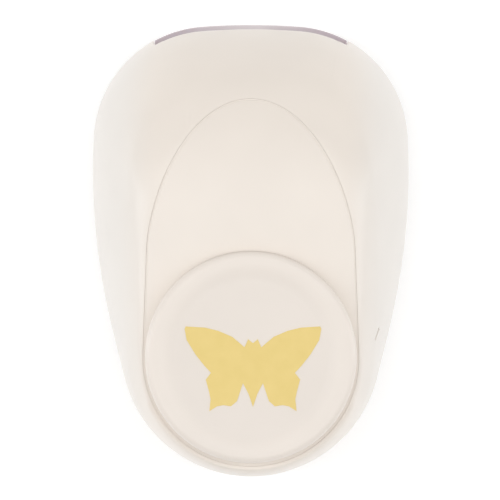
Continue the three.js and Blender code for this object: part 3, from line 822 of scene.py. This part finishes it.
def make_lever():
    """Tongue, pad seat, seam ledge, nose, hub, arms and stop wings in one moulding."""
    half = LEVER_HALF + TONGUE_SWELL
    ring = PAD_R + SEAT_CLEARANCE
    straight = [(mix(ring, half, t / 14), mix(PAD_Y, 0, t / 14)) for t in range(14)]
    right = [Vector(p) for p in straight + list(reversed(arch_points(swell=TONGUE_SWELL)))]
    left = [Vector((-p.x, p.y)) for p in reversed(right[:-1])]
    flat = [Vector((p.x, p.y, 0)) for p in right + left]
    steps, seat_r = 150, PAD_R + SEAT_GAP
    evened = [p.to_2d() for p in resample(flat, [i / steps for i in range(steps + 1)])]
    walls = offset([tuple(p) for p in evened], -WALL)
    sections = []
    for i, outer in enumerate(evened):
        angle = math.pi * i / steps
        seat = Vector((seat_r * math.cos(angle), PAD_Y + seat_r * math.sin(angle)))
        sections.append(tongue_section(outer, seat, walls[i]))
    width = len(sections[0])
    verts = [point for section in sections for point in section]
    faces = grid_faces(len(sections), width, wrap_columns=True)
    tongue = make_object("press_lever_shell", verts, faces, cream_shell)

    seat_profile = [(0.01, PAD_SEAT_Z), (ring - 0.5, PAD_SEAT_Z), (ring - 0.15, PAD_SEAT_Z - 0.15),
                    (ring, PAD_SEAT_Z - 0.5), (ring, SKIRT_Z), (ring - WALL, SKIRT_Z),
                    (ring - WALL, PAD_SEAT_Z - SEAT_THICK), (0.01, PAD_SEAT_Z - SEAT_THICK)]
    seat = lathe("lever_seat", seat_profile, (0, PAD_Y, 0), cream_shell, steps=120)

    nose_z = box_mm("press_block")[1].z + PIECE_GAP + NOSE_R
    nose = block("lever_nose", (-NOSE_HALF, DIE_Y - NOSE_R, nose_z), (NOSE_HALF, DIE_Y + NOSE_R, NOSE_TOP),
                 cream_shell)
    roller = bar("lever_nose_round", NOSE_R, DIE_Y, nose_z, -NOSE_HALF, NOSE_HALF, cream_shell)
    hub = bar("lever_hub", HUB_R, AXLE_Y, AXLE_Z, -HUB_HALF, HUB_HALF, cream_shell)
    arms = [lever_arm(side) for side in (-1, 1)]
    wings = [block(f"stop_wing_{side}", (side * WING_X - WING_HALF, WING_Y[0], WING_Z[0]),
                   (side * WING_X + WING_HALF, WING_Y[1], WING_Z[1]), cream_shell, 0.3) for side in (-1, 1)]
    return join([tongue, seat, make_flange(), nose, roller, hub] + arms + wings)


def make_flange():
    """Thin ledge round the lever that fills the seam just below the housing's edge."""
    edges = housing_edges()
    rim = [(point.x, point.y) for point in edges]
    outer, inner = offset(rim, -FLANGE_GAP), offset(rim, -FLANGE_REACH)
    verts = []
    for (ox, oy), (ix, iy), edge in zip(outer, inner, edges):
        level = edge.z - FLANGE_DROP
        below = level - FLANGE_THICK
        verts += [(ox, oy, level), (ix, iy, level), (ix, iy, below), (ox, oy, below)]
    faces = grid_faces(len(outer), 4, wrap_rows=True, wrap_columns=True)
    return make_object("lever_flange", verts, faces, cream_shell)


def bar(name, radius, y, z, x0, x1, material):
    """Round bar along X with softened ends."""
    soft = 0.3
    profile = [(0.01, x0), (radius - soft, x0), (radius, x0 + soft), (radius, x1 - soft),
               (radius - soft, x1), (0.01, x1)]
    return lathe(name, profile, (0, y, z), material, steps=48, axis="X")


def lever_arm(side):
    """Plate that carries the tongue on the hub, one on each side of the middle."""
    outline = [(16, 47.5), (16, 43), (27, 41), (AXLE_Y - 4.5, AXLE_Z), (AXLE_Y, AXLE_Z - 3),
               (AXLE_Y + 2.5, AXLE_Z + 2.5), (35, 40.4), (31.5, 42.6), (28, 45.5)]
    x = side * ARM_X
    verts = [(x - ARM_HALF, y, z) for y, z in outline] + [(x + ARM_HALF, y, z) for y, z in outline]
    count = len(outline)
    faces = grid_faces(2, count, wrap_columns=True)
    faces += [tuple(range(count)), tuple(reversed(range(count, 2 * count)))]
    return make_object(f"lever_arm_{side}", verts, faces, cream_shell)


# ------------------------------------------------------------------ press pad and its print
DISH_R = 18
RIM_R = 22.6
SHOULDER_R = 23.7
SHOULDER_DROP = 1.4


def pad_height(radius):
    """Top of the pad: a flat dish, an S-shaped rise to the rim, and a rounded shoulder."""
    if radius <= DISH_R:
        return DISH_Z
    if radius <= RIM_R:
        t = (radius - DISH_R) / (RIM_R - DISH_R)
        return mix(DISH_Z, PAD_TOP, t * t * (3 - 2 * t))
    t = max(radius - SHOULDER_R, 0) / (PAD_R - SHOULDER_R)
    return PAD_TOP - SHOULDER_DROP * (1 - math.sqrt(max(0, 1 - t * t)))


def make_pad():
    under = PAD_SEAT_Z + PIECE_GAP
    radii = [0.01, 6, 12, 16] + [mix(DISH_R, RIM_R, i / 14) for i in range(15)]
    radii += [mix(RIM_R, SHOULDER_R, i / 3) for i in range(1, 4)]
    radii += [mix(SHOULDER_R, PAD_R, math.sin(math.pi / 2 * i / 14)) for i in range(1, 15)]
    profile = [(radius, pad_height(radius)) for radius in radii]
    profile += [(PAD_R, under + 0.8), (PAD_R - 0.2, under), (PAD_R - 2.4, under),
                (PAD_R - 3, under + 2), (0.01, under + 2)]
    return lathe("pad_cap_shell", profile, (0, PAD_Y, 0), cream_pad, steps=160)


BUTTERFLY_HALF = [
    (0, 6.4), (1.2, 7.4), (2.1, 5.4), (5.2, 8), (8.7, 9.5), (12, 10.3), (16.8, 10.6), (17.1, 10),
    (16.6, 7.2), (14.4, 3.6), (12.2, 0.8), (10.5, -1), (11.8, -2.7), (11, -5.7), (10.6, -7.6),
    (10.9, -10.6), (9, -9.4), (7.4, -9.1), (5.5, -9.4), (4, -8.1), (3.3, -6), (2.5, -3.6),
    (1.1, -6.3), (0, -9.5),
]
BUTTERFLY_WIDTH = 34.2
PRINT_DROP = 0.55
FILM_THINNER = 0.1


def butterfly_outline(scale, centre):
    left = [(-x, y) for x, y in reversed(BUTTERFLY_HALF[1:-1])]
    whole = list(reversed(BUTTERFLY_HALF + left))
    return [(x * scale + centre[0], y * scale + centre[1]) for x, y in whole]


def make_print():
    low, high = box_mm("butterfly_print")
    centre = centre_mm("butterfly_print")
    scale = (high.x - low.x) / BUTTERFLY_WIDTH
    outline = butterfly_outline(scale, (centre.x, centre.y - PRINT_DROP * scale))
    return prism("butterfly_print_film", outline, low.z, high.z - FILM_THINNER, yellow_print)


# ------------------------------------------------------------------ base, lip and feet
LIP_CORNER_R = 2.5
LIP_CHAMFER = 0.35
LIP_TRIM = 0.6
LIP_END = 0.5
PAST_FRONT = 80


def make_lip():
    """Insert that follows the body's front curve, with rounded corners at its back."""
    arcs = egg_arcs(body_section(SILL_Z))
    front = []
    for side in (1, -1):
        reach = [egg_point(arcs, (arc, share, side)) for arc, share in right_stations() if arc < 2]
        reach = [p for p in reach if abs(p.x) < lip_high.x - LIP_TRIM]
        front += reach if side < 0 else list(reversed(reach))[:-1]
    back = rounded_rectangle(lip_low.x, lip_high.x, lip_low.y, PAST_FRONT, LIP_CORNER_R)
    back = [p for p in back if p[1] < lip_low.y + LIP_CORNER_R + 0.01]
    end_y = front[0].y - LIP_END
    outline = [tuple(p) for p in front] + [(lip_low.x, end_y)] + back + [(lip_high.x, end_y)]
    return prism("slot_lip_moulding", outline, lip_low.z, lip_high.z, lilac_lip, LIP_CHAMFER)


BASE_WALL = 2.5
HOLLOW_TOP = 6.4
KEPT_TOP = 8
BELOW, ABOVE = -1, 20
SCREW_BOSS_R = 5.2
FOOT_BOSS_R = 6.5
HEAD_HOLE_R = 3.1
HEAD_HOLE_TOP = 4.2
SHANK_HOLE_R = 1.5
OUTLET_HALF_X, OUTLET_HALF_Y = 18.4, 11.4


def make_base():
    """Tray hollowed from below, with blocks under the die and the lip, bosses, pockets and screw holes."""
    outline = egg_outline(inset(body_section(SILL_Z), BASE_SETBACK))
    tray = prism("base_tray", outline, base_low.z, base_high.z, cream_shell, 0.6)
    hollow_outline = egg_outline(inset(body_section(SILL_Z), BASE_SETBACK + BASE_WALL))
    hollow = prism("hollow", hollow_outline, 0, HOLLOW_TOP, cream_shell)
    kept = [block("kept", (-22, DIE_Y - 14, BELOW), (22, DIE_Y + 14, KEPT_TOP), cream_shell),
            block("kept", (-28, 43, BELOW), (28, 60, KEPT_TOP), cream_shell)]
    screws = [centre_mm(f"housing_screw_{i}") for i in range(1, 7)]
    feet = [centre_mm(f"foot_{i}") for i in range(1, 5)]
    for place, radius in [(p, SCREW_BOSS_R) for p in screws] + [(p, FOOT_BOSS_R) for p in feet]:
        kept.append(prism("kept", round_outline(place.x, place.y, radius), BELOW, KEPT_TOP, cream_shell))
    carve(hollow, kept)
    die_outline = rounded_rectangle(die_low.x - PIECE_GAP, die_high.x + PIECE_GAP,
                                    die_low.y - PIECE_GAP, die_high.y + PIECE_GAP, 3.3)
    die_pocket = prism("pocket", die_outline, die_low.z, ABOVE, cream_shell)
    lip_pocket = block("pocket", (lip_low.x - PIECE_GAP, 46, lip_low.z), (lip_high.x + PIECE_GAP, 70, ABOVE),
                       cream_shell)
    outlet_outline = rounded_rectangle(-OUTLET_HALF_X, OUTLET_HALF_X,
                                       DIE_Y - OUTLET_HALF_Y, DIE_Y + OUTLET_HALF_Y, 3)
    outlet = prism("outlet", outlet_outline, BELOW, ABOVE, cream_shell)
    holes = [prism("hole", round_outline(p.x, p.y, radius), 0, top, cream_shell)
             for radius, top in ((HEAD_HOLE_R, HEAD_HOLE_TOP), (SHANK_HOLE_R, ABOVE)) for p in screws]
    carve(tray, [hollow, die_pocket, lip_pocket, outlet] + holes)
    return tray


def make_foot(i):
    low, high = box_mm(f"foot_{i}")
    centre, radius = (low + high) / 2, (high.x - low.x) / 2
    profile = [(0.01, low.z + 0.12), (3.2, low.z + 0.12), (3.6, low.z), (4.3, low.z), (4.8, low.z + 0.15),
               (radius, low.z + 0.5), (radius, high.z), (0.01, high.z)]
    return lathe(f"foot_{i}_pad", profile, (centre.x, centre.y, 0), black_rubber, steps=48)


def make_screw(node, upward, head_r, shank_r):
    """Pan-head screw with a cross recess; the head is at its lower end when it points up."""
    low, high = box_mm(node)
    centre = (low + high) / 2
    head, tip = (low.z, high.z) if upward else (high.z, low.z)
    way = 1 if upward else -1
    profile = [(0.01, head), (head_r * 0.5, head + way * 0.08), (head_r * 0.8, head + way * 0.35),
               (head_r, head + way * 0.9), (head_r, head + way * 1.8), (shank_r, head + way * 1.8),
               (shank_r, tip - way * 0.4), (shank_r - 0.4, tip), (0.01, tip)]
    piece = lathe(f"{node}_body", profile, (centre.x, centre.y, 0), dark_steel, steps=36)
    reach, half = head_r * 0.62, 0.28
    z0, z1 = sorted((head - way * 0.5, head + way * 0.9))
    slots = [block("slot", (centre.x - a, centre.y - b, z0), (centre.x + a, centre.y + b, z1), dark_steel)
             for a, b in ((reach, half), (half, reach))]
    carve(piece, slots)
    return piece


# ------------------------------------------------------------------ springs
WIRE_R = 0.35
COIL_TURNS = 4.5
END_CLOSING = 0.06


def make_spring(i):
    """Open coil of round wire, with its turns closer together at both ends."""
    low, high = box_mm(f"return_spring_{i}")
    centre = (low + high) / 2
    radius = (high.x - low.x) / 2 - WIRE_R
    steps, sides = 160, 10
    verts = []
    for step in range(steps + 1):
        t = step / steps
        eased = t - END_CLOSING * math.sin(2 * math.pi * t)
        angle = 2 * math.pi * COIL_TURNS * t
        out = Vector((math.cos(angle), math.sin(angle), 0))
        spine = Vector((centre.x, centre.y, mix(low.z + WIRE_R, high.z - WIRE_R, eased))) + out * radius
        for side in range(sides):
            around = 2 * math.pi * side / sides
            verts.append(spine + out * WIRE_R * math.cos(around) + Vector((0, 0, WIRE_R * math.sin(around))))
    faces = grid_faces(steps + 1, sides, wrap_columns=True)
    faces += [tuple(range(sides)), tuple(reversed(range(steps * sides, (steps + 1) * sides)))]
    return make_object(f"return_spring_{i}_coil", verts, faces, spring_steel, 60)


# ------------------------------------------------------------------ assembly
def place(piece, body, slot_name, *nodes):
    """Lets a piece ride on its body and stand in for the CAD nodes."""
    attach(piece, body)
    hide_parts(*nodes)


place(make_housing(), "body", "cream_shell", "housing")
place(make_base(), "body", "cream_shell", "base")
place(make_lip(), "body", "lilac_lip", "slot_lip")
place(make_lever(), "lever", "cream_shell", "press_lever")
place(make_pad(), "lever", "cream_pad", "pad_cap")
place(make_print(), "lever", "yellow_print", "butterfly_print")
for i in range(1, 5):
    place(make_foot(i), "body", "black_rubber", f"foot_{i}")
    spring = make_spring(i)
    place(spring, "body", "spring_steel", f"return_spring_{i}")
    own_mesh(spring)
    place(make_screw(f"die_screw_{i}", False, 2.4, 1.3), "body", "dark_steel", f"die_screw_{i}")
for i in range(1, 7):
    place(make_screw(f"housing_screw_{i}", True, 2.8, 1.4), "body", "dark_steel", f"housing_screw_{i}")
for i in range(1, 3):
    place(make_screw(f"block_screw_{i}", False, 2.2, 1.1), "punch", "dark_steel", f"block_screw_{i}")

CAD_FINISHES = {
    "steel": steel, "dark_steel": dark_steel, "spring_steel": spring_steel, "black_plastic": black_plastic,
    "cream_shell": cream_shell, "cream_pad": cream_pad, "yellow_print": yellow_print,
    "lilac_lip": lilac_lip, "black_rubber": black_rubber,
}
for entry in frame["record"]["subparts"]:
    node = frame["nodes"][entry["node"]]
    node.data.materials.clear()
    node.data.materials.append(CAD_FINISHES[entry["material_slot"]])


# ------------------------------------------------------------------ floor, light and camera
FLOOR_HALF = 3
FLOOR_DROP = 0.0002


def make_floor():
    mesh = bpy.data.meshes.new("floor")
    half = FLOOR_HALF
    mesh.from_pydata([(-half, -half, 0), (half, -half, 0), (half, half, 0), (-half, half, 0)], [],
                     [(0, 1, 2, 3)])
    floor = bpy.data.objects.new("floor", mesh)
    floor.location.z = cad_bounds[0].z - FLOOR_DROP
    bpy.context.scene.collection.objects.link(floor)
    material = new_material("floor_white", Roughness=0.9, Emission_Strength=0.15,
                            Emission_Color=(1, 1, 1, 1))
    tint(material, add_noise(material, 3, 2), (0.97, 0.97, 0.97), (0.99, 0.99, 0.99))
    mesh.materials.append(material)


def make_light(name, position, target, size, power, colour=(1, 1, 1)):
    light = bpy.data.lights.new(name, "AREA")
    light.shape = "RECTANGLE"
    light.size, light.size_y = size
    light.energy = power
    light.color = colour
    lamp = bpy.data.objects.new(name, light)
    lamp.location = position
    direction = Vector(target) - Vector(position)
    lamp.rotation_euler = direction.to_track_quat("-Z", "Y").to_euler()
    bpy.context.scene.collection.objects.link(lamp)


def make_world(strength):
    world = bpy.data.worlds.new("studio")
    world.use_nodes = True
    world.node_tree.nodes["Background"].inputs["Color"].default_value = (1, 1, 1, 1)
    world.node_tree.nodes["Background"].inputs["Strength"].default_value = strength
    bpy.context.scene.world = world


CAMERA_PLACE = (-0.0002, 0, 0.7)
CAMERA_LENS = 195.6


def make_camera():
    """Long lens looking straight down."""
    camera = bpy.data.cameras.new("camera")
    camera.sensor_width = 36
    camera.lens = CAMERA_LENS
    camera.clip_start, camera.clip_end = 0.01, 20
    rig = bpy.data.objects.new("camera", camera)
    rig.location = CAMERA_PLACE
    bpy.context.scene.collection.objects.link(rig)
    bpy.context.scene.camera = rig


make_floor()
make_world(0.53)
make_light("left_softbox", (-0.7, 0, 0.85), (0, 0, 0.02), (0.5, 1.6), 2.75, (0.98, 1, 1.01))
make_light("right_softbox", (0.7, 0, 0.85), (0, 0, 0.02), (0.5, 1.6), 2.5, (0.98, 1, 1.01))
make_light("left_strip", (-0.85, 0.05, 0.4), (0, 0, 0.03), (0.2, 1.4), 1.9, (0.94, 0.99, 1.05))
make_light("right_strip", (0.85, 0.05, 0.4), (0, 0, 0.03), (0.2, 1.4), 1.75, (0.94, 0.99, 1.05))
make_light("front_softbox", (0, 0.8, 0.5), (0, 0, 0.04), (1.4, 0.5), 0.45, (1, 0.94, 0.88))
make_light("rear_softbox", (0, -0.8, 0.5), (0, 0, 0.04), (1.4, 0.5), 0.2, (1, 0.94, 0.88))
make_light("top_softbox", (0, 0, 1.3), (0, 0, 0), (1.0, 1.0), 2.3)
make_camera()
bpy.context.scene.view_settings.view_transform = "Standard"
